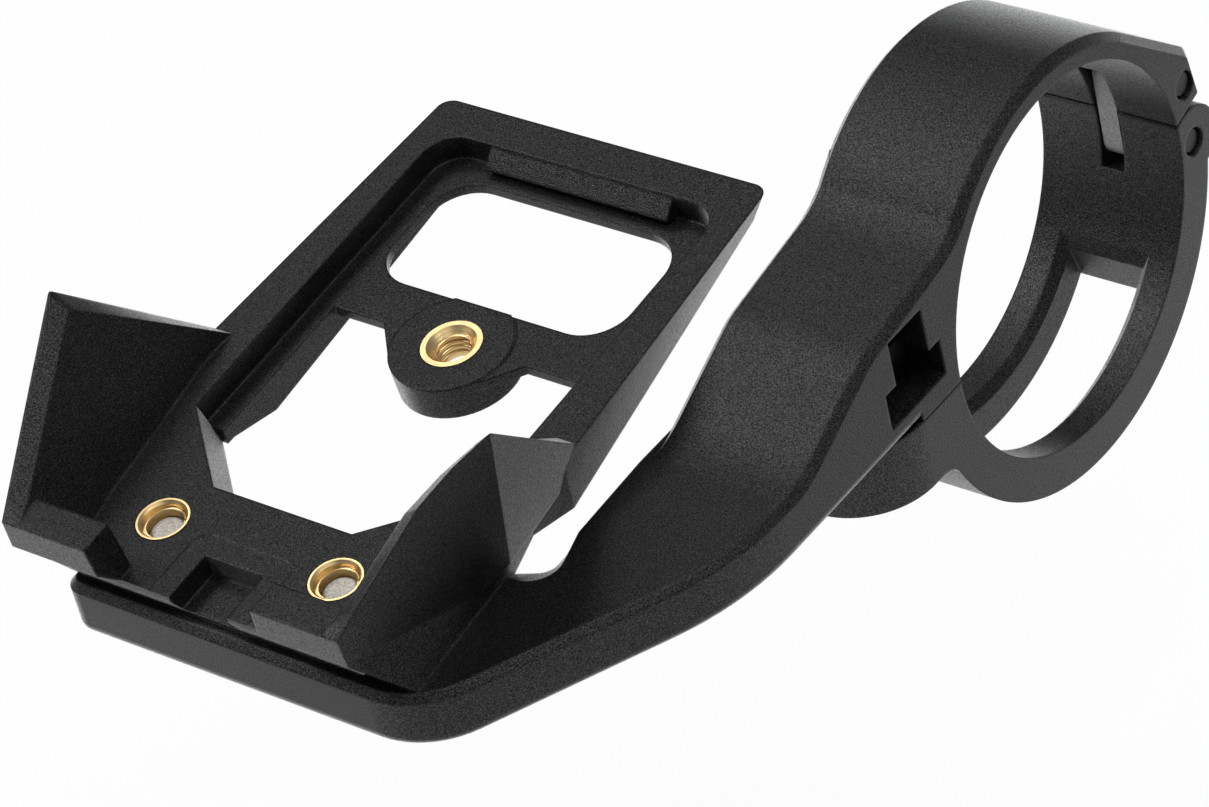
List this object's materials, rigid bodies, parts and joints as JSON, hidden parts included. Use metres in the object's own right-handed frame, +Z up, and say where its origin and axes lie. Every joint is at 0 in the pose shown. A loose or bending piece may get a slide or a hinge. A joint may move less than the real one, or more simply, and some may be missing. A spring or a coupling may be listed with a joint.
{
  "type": "handlebar display mount",
  "caption": "One-arm out-front handlebar mount: hinged clamp ring, flat arm and a tilted winged cradle with threaded brass bushes for a display unit.",
  "frame": {"origin": "centre of the clamp bore, half way along it", "axes": "+X along the handlebar away from the cradle, +Y from the cradle towards the bar, +Z up, square to the arm's underside"},
  "size_m": [0.0539, 0.0898, 0.0405],
  "materials": {
    "moulding": "fine spark-eroded grain",
    "strap": "fine spark-eroded grain",
    "dark_steel": "black oxide",
    "brass": "bright turned",
    "grey_steel": "blasted"
  },
  "bodies": {
    "mount": {"mount_body": "moulding", "clamp_nut": "dark_steel", "hinge_pin_body": "dark_steel", "rear_insert": "brass", "front_insert_left": "brass", "front_insert_right": "brass", "front_set_screw_left": "grey_steel", "front_set_screw_right": "grey_steel"},
    "link": {"hinge_link": "dark_steel"},
    "strap": {"clamp_strap": "strap", "hinge_pin_strap": "dark_steel"},
    "screw": {"clamp_screw": "dark_steel"}
  },
  "joints": [
    {"name": "link_pivot", "type": "hinge", "parent": "mount", "child": "link", "pos_m": [0, 0.0177, 0.0045], "axis": [1, 0, 0], "range_deg": [0, 50]},
    {"name": "strap_pivot", "type": "hinge", "parent": "link", "child": "strap", "pos_m": [0, 0.0177, -0.0011], "axis": [1, 0, 0], "range_deg": [0, 90]},
    {"name": "screw_turn", "type": "hinge", "parent": "strap", "child": "screw", "pos_m": [0, -0.021, -0.0026], "axis": [0, 0, 1], "continuous": true}
  ]
}
